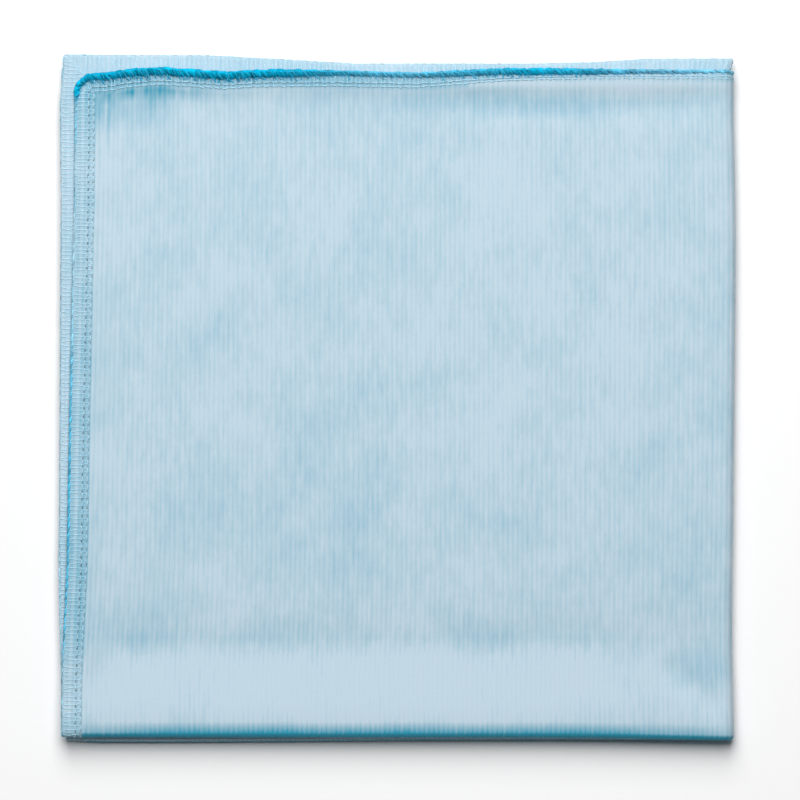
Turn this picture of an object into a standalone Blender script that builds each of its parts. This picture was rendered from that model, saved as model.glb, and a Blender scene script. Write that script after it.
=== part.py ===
"""Microfibre cloth, folded in quarters: one knit panel with an overlocked edge.

The panel is folded once across and once along, so four layers lie on each other, the first on top.
Two folds lie one over the other at the front, one nested fold is at the right, and the overlocked
edges are free at the left and at the back. The cloth rests on the whole of its fourth layer.
+X is the cloth's right, +Y its back and +Z up; the origin is under the middle of the folded cloth.
"""
import math
from collections import namedtuple

import bmesh
import bpy

MM = 0.001

# The panel laid flat. Its ribs run along its length.
PANEL_WIDTH = 404 * MM
PANEL_LENGTH = 415 * MM
KNIT_THICKNESS = 1.0 * MM

# The overlocked edge: a hem that is bulkier than the knit and thin again at its rim.
HEM_WIDTH = 6.2 * MM
HEM_THICKNESS = 1.3 * MM
HEM_RIM_THICKNESS = 0.9 * MM
HEM_SHOULDER = 0.9 * MM

# The pile of four layers. Both front folds and the inner side fold turn round half a pitch, and the
# outer side fold goes round all four layers.
LAYER_PITCH = 1.6 * MM
PILE_RISE = 3 * LAYER_PITCH
SMALL_TURN = LAYER_PITCH / 2
LARGE_TURN = 3 * LAYER_PITCH / 2
FRONT_FOLD_REACH = 0.95 * MM

# Steps of the grid: in a quarter turn of a fold, over the knit, and over the hem.
TURN_STEPS = 4
KNIT_STEPS = 11
HEM_STEPS = 3

# Where each layer's two free edges run: how far along the edge, from 0 at the fold to 1 at the free
# corner, and how far the edge stands out there from the panel's true rectangle, in mm. side is -1 for
# the panel's left half and +1 for its right half; end is +1 for the back half. corner_radius is the
# rounding of the free corner in mm.
Layer = namedtuple("Layer", "side end corner_radius left back")
LAYERS = (
    Layer(-1, +1, 5.5,
          ((0.0, +0.5), (0.2, +0.3), (0.45, -0.4), (0.8, -1.7), (1.0, -1.9)),
          ((0.0, -2.8), (0.35, -2.6), (0.48, -3.8), (0.6, -3.1), (0.7, -3.1), (0.77, -3.8), (0.87, -2.4),
           (0.92, -3.0), (0.95, -4.0), (1.0, -4.3))),
    Layer(-1, -1, 1.0,
          ((0.0, +0.6), (0.12, +0.6), (0.35, +0.1), (0.8, -0.1), (0.93, +0.3), (0.975, -0.6), (1.0, -0.6)),
          ((0.0, +1.4), (0.12, +1.3), (0.2, +0.2), (0.3, -0.2), (0.56, -0.2), (0.67, +1.2), (0.78, +2.4),
           (1.0, +2.6))),
    Layer(+1, -1, 2.0,
          ((0.0, -0.9), (0.03, -0.3), (0.09, +0.4), (0.35, 0.0), (1.0, -0.2)),
          ((0.0, +1.4), (0.12, +1.3), (0.2, +0.2), (0.3, -0.3), (0.6, -0.2), (1.0, +1.0))),
    Layer(+1, +1, 0.6,
          ((0.0, -0.9), (0.03, -0.3), (0.09, +0.4), (0.5, -0.4), (1.0, -0.2)),
          ((0.0, -2.8), (0.5, -2.6), (1.0, -2.0))),
)
WANDER_DEPTH = 60 * MM

# How far the two lower layers are slipped forward under the two upper ones at the left end; they are
# not slipped at the right fold. How far each front fold bows out: how far along it from the right
# fold, from 0 to 1, and the bow in mm.
SLIP_AT_LEFT = 1.1 * MM
UPPER_FOLD_BOW = ((0.0, +0.9), (0.05, +0.75), (0.12, +0.45), (0.2, +0.15), (0.3, 0.0), (1.0, 0.0))
LOWER_FOLD_BOW = ((0.0, +0.2), (0.05, +0.15), (0.12, -0.1), (0.27, -0.5), (0.47, -0.5), (0.68, -0.35),
                  (0.85, -0.35), (0.95, -0.45), (1.0, -0.7))

# How far the side fold bows out: how far along it from the front folds, from 0 to 1, and the bow in mm.
SIDE_FOLD_BOW = ((0.0, +0.3), (0.07, +0.1), (0.13, -0.2), (0.2, -0.2), (0.3, +0.2), (0.46, +0.6),
                 (0.64, +1.1), (0.72, +1.25), (0.81, +1.15), (0.87, +1.0), (0.93, +0.7), (1.0, +0.8))

# The left edges of a pair of layers meet at the front fold: so far from it they lie together, and so
# far from it they are free.
PAIR_CLOSED = 12 * MM
PAIR_OPEN = 58 * MM

# The strip of the inner side fold that the outer one leaves bare springs out level with it: how far
# from its back edge that starts and ends, and over what depth from the fold.
STRIP_STARTS = 3.8 * MM
STRIP_ENDS = 1.8 * MM
STRIP_DEPTH = 14 * MM

# What lies closer than this to the floor is pressed flat onto it.
FLOOR_TOUCH = 0.03 * MM

# Soft ridges and troughs of the pile, in mm: a line on the floor from start to end, the distance at
# which it has died away to a third, and how far it lifts the top of the pile.
Swell = namedtuple("Swell", "name start_x start_y end_x end_y width rise")
SWELLS = (
    Swell("springy front folds", -105, -100, 105, -100, 11.0, 1.00),
    Swell("hollow behind the front folds", -80, -76, 90, -75, 7.0, -0.45),
    Swell("pile of hems at the left", -99, -105, -99, 105, 6.5, 0.70),
    Swell("pile of hems at the back", -105, 100, 105, 100, 6.0, 0.70),
    Swell("hollow inside the hem at the back", 20, 90, 88, 90, 3.5, -0.40),
    Swell("crease at the front right corner", 84, -84, 95, -95, 4.0, -0.60),
    Swell("rise along the right fold", 92, -70, 92, 80, 8.0, 0.30),
    Swell("low middle", -40, -20, 40, 20, 45.0, -0.20),
)

KNIT_BLUE = (0.515, 0.665, 0.76, 1.0)


def smooth_step(t):
    """Ease from 0 to 1 with no slope at either end."""
    t = min(max(t, 0.0), 1.0)
    return t * t * (3 - 2 * t)


def even_steps(start, end, count):
    """Places after start, up to and with end, the same distance apart."""
    return [start + (end - start) * i / count for i in range(1, count + 1)]


def grid_lines(half_size, turns):
    """Where the grid has lines across a panel, given as distances from the fold, both ways.

    turns are the radii of the folds that the panel takes here, the smallest first.
    """
    lines = [0.0]
    for radius in turns:
        lines += even_steps(lines[-1], radius * math.pi / 2, TURN_STEPS)
    start, end = lines[-1], half_size - HEM_WIDTH
    lines += [start + (end - start) * (1 - math.cos(math.pi * i / KNIT_STEPS)) / 2
              for i in range(1, KNIT_STEPS + 1)]
    lines.append(end + HEM_SHOULDER)
    lines += even_steps(lines[-1], half_size - HEM_SHOULDER, HEM_STEPS)
    lines.append(half_size)
    return [-line for line in reversed(lines)] + lines[1:]


def edge_distance(u, v):
    """How far a point of the flat panel lies from its nearest edge."""
    return min(PANEL_WIDTH / 2 - abs(u), PANEL_LENGTH / 2 - abs(v))


def thickness_at(from_edge):
    """Thickness of the cloth so far from its edge."""
    if from_edge < HEM_SHOULDER:
        return HEM_RIM_THICKNESS + (HEM_THICKNESS - HEM_RIM_THICKNESS) * from_edge / HEM_SHOULDER
    knit_share = smooth_step((from_edge - HEM_WIDTH + HEM_SHOULDER) / HEM_SHOULDER)
    return HEM_THICKNESS + (KNIT_THICKNESS - HEM_THICKNESS) * knit_share


def read_at(table, place):
    """Read a table of places and lengths in mm, with straight lines between them, in metres."""
    for (start, first), (end, last) in zip(table, table[1:]):
        if place <= end:
            return (first + (last - first) * (place - start) / (end - start)) * MM
    return table[-1][1] * MM


def shaped_panel(u, v):
    """Round the free corner of a point's layer and let its two free edges wander."""
    layer = next(row for row in LAYERS if row.side * u >= 0 and row.end * v >= 0)
    across, along = abs(u), abs(v)
    left = read_at(layer.left, 2 * along / PANEL_LENGTH)
    back = read_at(layer.back, 2 * across / PANEL_WIDTH)
    from_side, from_end = PANEL_WIDTH / 2 - across, PANEL_LENGTH / 2 - along
    radius = layer.corner_radius * MM
    if from_side < radius and from_end < radius:
        a, b = radius - from_side, radius - from_end
        pull = max(a, b) / math.hypot(a, b)
        across += a * (pull - 1)
        along += b * (pull - 1)
    across += left * (1 - smooth_step(from_side / WANDER_DEPTH))
    along += back * (1 - smooth_step(from_end / WANDER_DEPTH))
    return math.copysign(across, u), math.copysign(along, v)


def turn_back(distance, radius):
    """Fold a line half round an axis: how far a point lies past the axis, and its height over it."""
    quarter = radius * math.pi / 2
    if abs(distance) < quarter:
        angle = distance / radius
        return radius * math.cos(angle), radius * math.sin(angle)
    return quarter - abs(distance), math.copysign(radius, distance)


def swell_at(x, y):
    """How far the pile is lifted over a point of the floor: by its highest ridge, less its troughs."""
    ridge, trough = 0.0, 0.0
    for swell in SWELLS:
        run_x, run_y = (swell.end_x - swell.start_x) * MM, (swell.end_y - swell.start_y) * MM
        from_x, from_y = x - swell.start_x * MM, y - swell.start_y * MM
        t = (from_x * run_x + from_y * run_y) / (run_x ** 2 + run_y ** 2)
        t = min(max(t, 0.0), 1.0)
        away = math.hypot(from_x - t * run_x, from_y - t * run_y)
        lift = swell.rise * MM * math.exp(-(away / (swell.width * MM)) ** 2)
        ridge, trough = max(ridge, lift), trough + min(lift, 0.0)
    return ridge + trough


def fold_middle():
    """Where the middle of the folded cloth lies, from the side fold's axis and the front folds' axis."""
    left_out = max(out for layer in LAYERS for _, out in layer.left) * MM
    back_out = max(out for layer in LAYERS for _, out in layer.back) * MM
    right = LARGE_TURN + KNIT_THICKNESS / 2 + max(out for _, out in SIDE_FOLD_BOW) * MM
    left = (PANEL_WIDTH - math.pi * SMALL_TURN) / 2 + left_out
    front = FRONT_FOLD_REACH + KNIT_THICKNESS / 2 + SLIP_AT_LEFT
    back = (PANEL_LENGTH - math.pi * SMALL_TURN) / 2 + back_out
    return (right - left) / 2, (back - front) / 2


def sideways(u, v, radius):
    """How far the side fold's bow, its inner strip and the meeting left edges shift a point right."""
    across, along = 2 * abs(u) / PANEL_WIDTH, 2 * abs(v) / PANEL_LENGTH
    bow = read_at(SIDE_FOLD_BOW, along) * (1 - smooth_step(abs(u) / WANDER_DEPTH))
    meeting = 1 - smooth_step((abs(v) - PAIR_CLOSED) / (PAIR_OPEN - PAIR_CLOSED))
    pair = (radius - LAYER_PITCH) * math.pi / 2 * smooth_step(across) * meeting
    bare = smooth_step((STRIP_STARTS - PANEL_LENGTH / 2 - v) / (STRIP_STARTS - STRIP_ENDS))
    strip = LAYER_PITCH * bare * (1 - smooth_step(abs(u) / STRIP_DEPTH))
    return bow + strip - pair


def folded(u, v):
    """Carry a point of the flat panel to its place in the folded cloth, midway in its thickness."""
    panel_u, panel_v = shaped_panel(u, v)
    past_front, height = turn_back(panel_v, SMALL_TURN)
    radius = LAYER_PITCH + height
    past_right, level = turn_back(-panel_u, radius)
    across = 2 * abs(u) / PANEL_WIDTH
    lower_share = smooth_step(0.5 + u / (math.pi * LARGE_TURN))
    if past_front > 0:
        past_front *= FRONT_FOLD_REACH / SMALL_TURN
    upper, lower = read_at(UPPER_FOLD_BOW, across), read_at(LOWER_FOLD_BOW, across)
    bow = (upper + (lower - upper) * lower_share) * (1 - smooth_step(abs(v) / WANDER_DEPTH))
    forward = past_front + bow + lower_share * SLIP_AT_LEFT * across
    middle_x, middle_y = fold_middle()
    x, y = past_right + sideways(u, v, radius) - middle_x, -forward - middle_y
    lift = 1 + swell_at(x, y) / PILE_RISE
    resting_height = thickness_at(max(edge_distance(u, v), HEM_SHOULDER)) / 2
    return x, y, resting_height + (level + LARGE_TURN) * lift


def build_cloth():
    """Fold a flat grid into a sheet in the middle of the cloth, thicken it, and press its base flat."""
    across = grid_lines(PANEL_WIDTH / 2, (SMALL_TURN, LARGE_TURN))
    along = grid_lines(PANEL_LENGTH / 2, (SMALL_TURN,))
    bm = bmesh.new()
    bmesh.ops.create_grid(bm, x_segments=len(across) - 1, y_segments=len(along) - 1, size=0.5)
    weights = []
    for vertex in bm.verts:
        u = across[round((vertex.co.x + 0.5) * (len(across) - 1))]
        v = along[round((vertex.co.y + 0.5) * (len(along) - 1))]
        weights.append(thickness_at(edge_distance(u, v)) / HEM_THICKNESS)
        vertex.co = folded(u, v)
    mesh = bpy.data.meshes.new("cloth")
    bm.to_mesh(mesh)
    bm.free()
    mesh.shade_smooth()
    mesh.materials.append(knit_material())

    cloth = bpy.data.objects.new("cloth", mesh)
    bpy.context.scene.collection.objects.link(cloth)
    share = cloth.vertex_groups.new(name="share of the hem's thickness")
    for index, weight in enumerate(weights):
        share.add([index], weight, "REPLACE")
    solidify = cloth.modifiers.new("thickness", "SOLIDIFY")
    solidify.thickness = HEM_THICKNESS
    solidify.offset = 0
    solidify.use_even_offset = True
    solidify.vertex_group = share.name
    thick = cloth.evaluated_get(bpy.context.evaluated_depsgraph_get())
    cloth.data = bpy.data.meshes.new_from_object(thick)
    cloth.modifiers.remove(solidify)
    for vertex in cloth.data.vertices:
        if vertex.co.z < FLOOR_TOUCH:
            vertex.co.z = 0.0


def knit_material():
    """Pale blue split-fibre knit, matt all over."""
    material = bpy.data.materials.new("microfibre knit")
    material.use_nodes = True
    shader = material.node_tree.nodes["Principled BSDF"]
    shader.inputs["Base Color"].default_value = KNIT_BLUE
    shader.inputs["Roughness"].default_value = 0.9
    shader.inputs["Metallic"].default_value = 0.0
    return material


def main():
    for old in list(bpy.data.objects):
        bpy.data.objects.remove(old)
    build_cloth()


main()
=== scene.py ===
"""The looks of a microfibre cloth folded in quarters: ribbed knit, overlocked edge, plain studio."""
import math
from collections import namedtuple

import bmesh
import bpy
import numpy as np
from mathutils import Matrix, Vector


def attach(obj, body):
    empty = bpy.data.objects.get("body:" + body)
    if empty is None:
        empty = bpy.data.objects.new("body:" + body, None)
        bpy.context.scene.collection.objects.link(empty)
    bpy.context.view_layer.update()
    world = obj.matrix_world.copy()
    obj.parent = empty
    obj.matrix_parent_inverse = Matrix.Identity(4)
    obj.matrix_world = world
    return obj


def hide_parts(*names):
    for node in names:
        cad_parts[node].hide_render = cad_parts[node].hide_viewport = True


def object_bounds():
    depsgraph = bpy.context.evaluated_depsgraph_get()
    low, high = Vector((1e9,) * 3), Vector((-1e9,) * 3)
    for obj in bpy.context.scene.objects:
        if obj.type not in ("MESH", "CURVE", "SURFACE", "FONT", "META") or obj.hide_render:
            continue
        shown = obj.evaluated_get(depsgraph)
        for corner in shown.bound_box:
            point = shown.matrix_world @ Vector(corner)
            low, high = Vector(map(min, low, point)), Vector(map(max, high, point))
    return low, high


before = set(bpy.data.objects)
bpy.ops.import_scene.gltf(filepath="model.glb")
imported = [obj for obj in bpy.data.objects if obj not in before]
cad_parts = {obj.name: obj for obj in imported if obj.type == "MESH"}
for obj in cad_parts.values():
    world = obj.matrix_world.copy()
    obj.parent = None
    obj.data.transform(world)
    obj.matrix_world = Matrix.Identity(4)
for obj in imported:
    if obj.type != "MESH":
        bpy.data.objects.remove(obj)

CAD_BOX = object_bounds()

bl_info = {
    "name": "Folded microfibre cloth",
    "version": (1, 0, 0),
    "blender": (4, 5, 0),
    "location": "3D View > Sidebar > Cloth",
    "description": "Models a ribbed-knit cloth with an overlocked edge, folded in quarters",
    "category": "Add Mesh",
}

MM = 0.001
NODE = "cloth"
BODY = "root"

# Where each layer's two free edges run: how far along the edge, from 0 at the fold to 1 at the free
# corner, and how far the edge stands out there from the panel's true rectangle, in mm. side is -1 for
# the panel's left half and +1 for its right half; end is +1 for the back half.
Layer = namedtuple("Layer", "side end corner_radius left back")
LAYERS = (
    Layer(-1, +1, 5.5,
          ((0.0, +0.5), (0.2, +0.3), (0.45, -0.4), (0.8, -1.7), (1.0, -1.9)),
          ((0.0, -2.8), (0.35, -2.6), (0.48, -3.8), (0.6, -3.1), (0.7, -3.1), (0.77, -3.8), (0.87, -2.4),
           (0.92, -3.0), (0.95, -4.0), (1.0, -4.3))),
    Layer(-1, -1, 1.0,
          ((0.0, +0.6), (0.12, +0.6), (0.35, +0.1), (0.8, -0.1), (0.93, +0.3), (0.975, -0.6),
           (1.0, -0.6)),
          ((0.0, +1.4), (0.12, +1.3), (0.2, +0.2), (0.3, -0.2), (0.56, -0.2), (0.67, +1.2), (0.78, +2.4),
           (1.0, +2.6))),
    Layer(+1, -1, 2.0,
          ((0.0, -0.9), (0.03, -0.3), (0.09, +0.4), (0.35, 0.0), (1.0, -0.2)),
          ((0.0, +1.4), (0.12, +1.3), (0.2, +0.2), (0.3, -0.3), (0.6, -0.2), (1.0, +1.0))),
    Layer(+1, +1, 0.6,
          ((0.0, -0.9), (0.03, -0.3), (0.09, +0.4), (0.5, -0.4), (1.0, -0.2)),
          ((0.0, -2.8), (0.5, -2.6), (1.0, -2.0))),
)
WANDER_DEPTH = 60 * MM

# How far the two lower layers are slipped forward under the two upper ones at the left end; they are
# not slipped at the right fold. How far each front fold bows out: how far along it from the right
# fold, from 0 to 1, and the bow in mm. The lower one stands out up to 0.2 mm more than the solid's.
SLIP_AT_LEFT = 1.1 * MM
UPPER_FOLD_BOW = ((0.0, +0.9), (0.05, +0.75), (0.12, +0.45), (0.2, +0.15), (0.3, 0.0), (1.0, 0.0))
LOWER_FOLD_BOW = ((0.0, +0.2), (0.05, +0.15), (0.12, 0.0), (0.27, -0.3), (0.47, -0.3), (0.68, -0.15),
                  (0.85, -0.15), (0.95, -0.3), (1.0, -0.7))

# How far the side fold bows out: how far along it from the front folds, from 0 to 1, and the bow in mm.
SIDE_FOLD_BOW = ((0.0, +0.3), (0.07, +0.1), (0.13, -0.2), (0.2, -0.2), (0.3, +0.2), (0.46, +0.6),
                 (0.64, +1.1), (0.72, +1.25), (0.81, +1.15), (0.87, +1.0), (0.93, +0.7), (1.0, +0.8))

# The left edges of a pair of layers meet at the front fold: so far from it they lie together, and so
# far from it they are free.
PAIR_CLOSED = 12 * MM
PAIR_OPEN = 58 * MM

# The strip of the inner side fold that the outer one leaves bare springs out level with it: how far
# from its back edge that starts and ends, and over what depth from the fold.
STRIP_STARTS = 3.8 * MM
STRIP_ENDS = 1.8 * MM
STRIP_DEPTH = 14 * MM

# The hem lifts the middle of the cloth off the floor, over a short shoulder.
HEM_LIFT = 0.15 * MM
HEM_SHOULDER = 0.9 * MM

# Soft ridges and troughs of the pile, in mm: a line on the floor from start to end, the distance at
# which it has died away to a third, and how far it lifts the top of the pile.
Swell = namedtuple("Swell", "name start_x start_y end_x end_y width rise")
SWELLS = (
    Swell("springy front folds", -105, -100, 105, -100, 11.0, 1.00),
    Swell("hollow behind the front folds", -80, -76, 90, -75, 7.0, -0.45),
    Swell("pile of hems at the left", -99, -105, -99, 105, 6.5, 0.70),
    Swell("pile of hems at the back", -105, 100, 105, 100, 6.0, 0.70),
    Swell("hollow inside the hem at the back", 20, 90, 88, 90, 3.5, -0.40),
    Swell("crease at the front right corner", 84, -84, 95, -95, 4.0, -0.60),
    Swell("rise along the right fold", 92, -70, 92, 80, 8.0, 0.30),
    Swell("low middle", -40, -20, 40, 20, 45.0, -0.20),
)

# The looper threads along the top layer's edge, by the distance in mm from its free corner, which is
# positive along the back edge and negative down the left edge: how thick they bunch there, how much
# of the deep thread colour shows, from 0 to 1, and how wide the hem is, as a share of its width.
Bunch = namedtuple("Bunch", "along radius depth width")
BUNCHES = (
    Bunch(-206, 0.34, 0.40, 1.00), Bunch(-188, 0.36, 0.35, 1.00), Bunch(-178, 0.50, 0.80, 1.00),
    Bunch(-150, 0.57, 0.85, 1.00), Bunch(-125, 0.57, 0.85, 1.00), Bunch(-95, 0.55, 0.75, 1.00),
    Bunch(-80, 0.42, 0.50, 1.00), Bunch(-50, 0.36, 0.20, 1.00), Bunch(-42, 0.42, 0.55, 1.00),
    Bunch(-30, 0.36, 0.20, 1.00), Bunch(-21, 0.46, 0.65, 1.00), Bunch(-9, 0.50, 0.60, 1.00),
    Bunch(-6, 0.90, 1.00, 1.00), Bunch(0, 1.25, 1.00, 0.90), Bunch(22, 1.50, 1.00, 0.82),
    Bunch(37, 1.45, 1.00, 0.78), Bunch(66, 1.47, 1.00, 0.78), Bunch(80, 1.05, 0.95, 0.76),
    Bunch(92, 1.00, 0.85, 0.74), Bunch(105, 1.00, 0.82, 0.72), Bunch(118, 1.15, 0.90, 0.64),
    Bunch(140, 1.25, 1.00, 0.50), Bunch(158, 1.10, 0.95, 0.42), Bunch(176, 0.85, 0.75, 0.40),
    Bunch(200, 0.80, 0.70, 0.40), Bunch(204, 0.36, 0.35, 0.50), Bunch(212, 0.34, 0.40, 1.00),
)

# Soft patches of the top face, in mm: the middle, the reach both ways, and how much deeper the colour
# looks there. In the hollow, the dip, the creased corner and where the knit is pulled in, the deeper
# colour is painted shade; on the ridge and the puffed front folds the paler colour is painted light; the
# other two are where the nap lies another way.
Patch = namedtuple("Patch", "name x y reach_x reach_y deeper")
PATCHES = (
    Patch("pulled in behind the corner", -85, 91, 17, 7, 0.20),
    Patch("hollow inside the hem at the back", 44, 91, 46, 4.5, 0.24),
    Patch("ridge beside the hem at the back", 62, 97.5, 46, 4, -0.20),
    Patch("puffed front folds", -10, -89.5, 125, 12.5, -0.21),
    Patch("dip behind the front folds", -10, -74, 95, 3.5, 0.10),
    Patch("creased corner", 91, -83, 12, 7, 0.18),
    Patch("raised nap at the back right", 60, 45, 50, 45, -0.07),
    Patch("brushed down in the middle of the front", 10, -42, 75, 22, 0.04),
)

# The band of painted shade round the upper front fold, where it turns away from the light: how far
# along the fold from the right one, from 0 to 1, how far behind the fold's line its middle lies, and how
# far it reaches from there, in mm.
UPPER_FOLD_PAINTED_SHADE = ((0.0, 0.0, 1.15), (0.05, +0.1, 1.25), (0.12, +0.1, 1.3), (0.2, +0.25, 1.5),
             (0.85, +0.25, 1.5), (0.92, 0.0, 1.5), (1.0, -0.35, 1.4))

# The lower front fold gets painted light on top and painted shade in front, from where it starts to turn
# down: how deep it is on top and how much deeper in front, where the change starts behind the fold's
# line, the distance over which it changes, and how far from the line all of it reaches.
LOWER_TOP_PAINTED_LIGHT = -0.2
LOWER_FRONT_PAINTED_SHADE = 0.95
LOWER_CHANGE_START = 0.7 * MM
LOWER_CHANGE = 0.5 * MM
LOWER_REACH = 1.6 * MM

# How deep the knit looks in a hem: in the top layer's where its threads lie loose, how much deeper
# where they bunch up, partly as painted shade of the bunched cord over it, and in the other layers' hems;
# and which share of a front fold's painted shade shows in a hem that runs over it.
TOP_HEM_DEPTH = 0.14
BUNCHED_HEM_DEPTH_AND_CORD_SHADE = 0.30
OTHER_HEM_DEPTH = 0.06
HEM_SHARE_OF_FOLD_SHADE = 0.25

# Down the left edge the looper threads lie loose over a pale strip between the rim and the needle
# threads, where the hem is not deepened under the cord: the middle of the strip, inside the edge, and its
# reach in the knit; the same of the threads themselves, in mm, and how much painted light they get as
# they lie raised.
BARE_STRIP_MIDDLE, BARE_STRIP_REACH = 2.1 * MM, 0.8 * MM
LIT_THREADS_MIDDLE, LIT_THREADS_REACH = 2.4, 0.9
LIT_THREADS_PAINTED_LIGHT = 0.18

# Just inside a hem, where the knit drops from the raised hem, shade is painted into it, a little
# everywhere and more at the top layer's free corner: how far inside the hem, the reach along a middling
# rib, and how deep the painted shade is everywhere and at the corner; then how far left of the panel's
# middle the corner's share starts and over what distance it grows, and the same from so far in front of
# the back edge. Ribs differ in reach and depth between two shares.
HEM_SHADE_MIDDLE, HEM_SHADE_REACH = 1.2 * MM, 2.4 * MM
HEM_PAINTED_SHADE, CORNER_PAINTED_SHADE = 0.05, 0.42
CORNER_ACROSS, CORNER_GROWS_ACROSS = 140 * MM, 40 * MM
CORNER_ALONG, CORNER_GROWS_ALONG = 26 * MM, 14 * MM
RIB_SHARES = (0.4, 1.6)
RIB_SEED = 7

# Shares of pale fibre tips in a groove and on a crest, how sharply they fall towards a groove, and how
# far the nap's patches and the streaks along the wales shift them. A streak is about a rib wide and 10 mm
# long: 0.9 of it to a rib and to 9 mm.
GROOVE_TIPS, CREST_TIPS = 0.75, 0.97
CREST_POWER = 0.55
MOTTLE_SHIFT = (-0.15, 0.11)
STREAK_SHIFT = (-0.12, 0.08)
STREAK_LENGTH, STREAK_CELLS = 9 * MM, 0.9

# How dark and how bright a thread's crimps and hairs are, as shares of its colour.
CRIMP_SHADES = (0.66, 1.24)

# Noise is mapped from its usual range.
NOISE_LOW, NOISE_HIGH = 0.3, 0.7

# Cells a metre of the patterns on Object coordinates. The patches of the nap are about 21 mm across and
# the paper's grain 2.5 mm. Split fibres and crimped filaments are some hundredths of a millimetre thick,
# too fine to show, so they are drawn as tufts of about 0.4 mm.
MOTTLE_CELLS = 48.0
PAPER_CELLS = 400.0
FIBRE_CELLS = 2600.0
CRIMP_CELLS = 2400.0


def linear(hex_colour):
    """An sRGB hex colour as linear red, green and blue."""
    parts = (int(hex_colour[i:i + 2], 16) / 255 for i in (1, 3, 5))
    return tuple(c / 12.92 if c <= 0.04045 else ((c + 0.055) / 1.055) ** 2.4 for c in parts)


class ClothSizes(bpy.types.PropertyGroup):
    """Sizes of the cloth, laid flat and folded."""
    panel_width: bpy.props.FloatProperty(
        name="Panel width", description="Across the ribs", default=404 * MM, unit="LENGTH")
    panel_length: bpy.props.FloatProperty(
        name="Panel length", description="Along the ribs", default=415 * MM, unit="LENGTH")
    knit_thickness: bpy.props.FloatProperty(
        name="Knit thickness", description="Thickness of the knit", default=1.0 * MM, unit="LENGTH")
    layer_pitch: bpy.props.FloatProperty(
        name="Layer pitch", description="Between the middles of two layers", default=1.6 * MM,
        unit="LENGTH")
    fold_reach: bpy.props.FloatProperty(
        name="Front fold reach", description="How far a front fold's middle stands out",
        default=0.95 * MM, unit="LENGTH")
    rib_count: bpy.props.IntProperty(
        name="Ribs", description="Ribs across the panel", default=276)
    rib_height: bpy.props.FloatProperty(
        name="Rib height", description="From a groove to a crest", default=0.16 * MM, unit="LENGTH")
    hem_width: bpy.props.FloatProperty(
        name="Hem width", description="Width of the overlocked edge", default=6.2 * MM, unit="LENGTH")
    hem_thickness: bpy.props.FloatProperty(
        name="Hem thickness", description="The knit as the threads press it together",
        default=0.75 * MM, unit="LENGTH")
    stitches_across: bpy.props.IntProperty(
        name="Stitches across", description="Overlock stitches on a panel width", default=159)
    stitches_along: bpy.props.IntProperty(
        name="Stitches along", description="Overlock stitches on a panel length", default=163)
    thread_radius: bpy.props.FloatProperty(
        name="Thread radius", description="Of a looper thread", default=0.16 * MM, unit="LENGTH")


class ClothColours(bpy.types.PropertyGroup):
    """Colours of the knit and the threads."""
    knit_pale: bpy.props.FloatVectorProperty(
        name="Knit, tips", description="Split fibre tips", subtype="COLOR", size=3,
        default=linear("#B5C9D5"))
    # The ground colour is also what the painted shade at the folds, beside the hems and in the hollows
    # mixes towards.
    knit_deep: bpy.props.FloatVectorProperty(
        name="Knit, ground", description="Ground yarn between the ribs", subtype="COLOR", size=3,
        default=linear("#2E93AE"))
    thread_pale: bpy.props.FloatVectorProperty(
        name="Thread, loose", description="Overlock thread where it lies loose", subtype="COLOR",
        size=3, default=linear("#BCDCEA"))
    thread_deep: bpy.props.FloatVectorProperty(
        name="Thread, bunched", description="Overlock thread where it bunches", subtype="COLOR",
        size=3, default=linear("#00A2C8"))
    floor: bpy.props.FloatVectorProperty(
        name="Floor", description="Plain pale floor", subtype="COLOR", size=3,
        default=linear("#EEEEEE"))


class StudioSettings(bpy.types.PropertyGroup):
    """Camera and lights."""
    view_width: bpy.props.FloatProperty(
        name="View width", description="Width of the picture at the cloth", default=242.7 * MM,
        unit="LENGTH")
    elevation: bpy.props.FloatProperty(
        name="Elevation", description="Of the camera above the floor", default=math.radians(80),
        subtype="ANGLE")
    lens: bpy.props.FloatProperty(
        name="Lens", description="Focal length in millimetres", default=900.0)
    key_power: bpy.props.FloatProperty(
        name="Key power", description="Of the soft light from the back left", default=40.5,
        subtype="POWER")
    sky_strength: bpy.props.FloatProperty(
        name="Sky strength", description="Of the even light from all round", default=0.08)


# ---------------------------------------------------------------------------------------------------
# How the flat panel is folded
# ---------------------------------------------------------------------------------------------------

def smooth_step(t):
    """Ease from 0 to 1 with no slope at either end."""
    t = np.clip(t, 0.0, 1.0)
    return t * t * (3 - 2 * t)


def shaped_panel(sizes, u, v):
    """Round the free corner of each point's layer and let its two free edges wander."""
    half_u, half_v = sizes.panel_width / 2, sizes.panel_length / 2
    across, along = np.abs(u), np.abs(v)
    radius, left, back = np.zeros_like(across), np.zeros_like(across), np.zeros_like(across)
    for layer in LAYERS:
        here = ((u <= 0) == (layer.side < 0)) & ((v >= 0) == (layer.end > 0))
        radius[here] = layer.corner_radius * MM
        left[here] = np.interp(along[here] / half_v, *zip(*layer.left)) * MM
        back[here] = np.interp(across[here] / half_u, *zip(*layer.back)) * MM
    from_side, from_end = half_u - across, half_v - along
    a, b = np.maximum(radius - from_side, 0), np.maximum(radius - from_end, 0)
    pull = np.where((a > 0) & (b > 0), np.maximum(a, b) / np.maximum(np.hypot(a, b), 1e-9), 1.0)
    across = across + a * (pull - 1) + left * (1 - smooth_step(from_side / WANDER_DEPTH))
    along = along + b * (pull - 1) + back * (1 - smooth_step(from_end / WANDER_DEPTH))
    return np.copysign(across, u), np.copysign(along, v)


def turn_back(distance, radius):
    """Fold a line half round an axis: how far a point lies past the axis, and its height over it."""
    quarter = radius * math.pi / 2
    angle = distance / radius
    turning = np.abs(distance) < quarter
    return (np.where(turning, radius * np.cos(angle), quarter - np.abs(distance)),
            np.where(turning, radius * np.sin(angle), np.copysign(radius, distance)))


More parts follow.
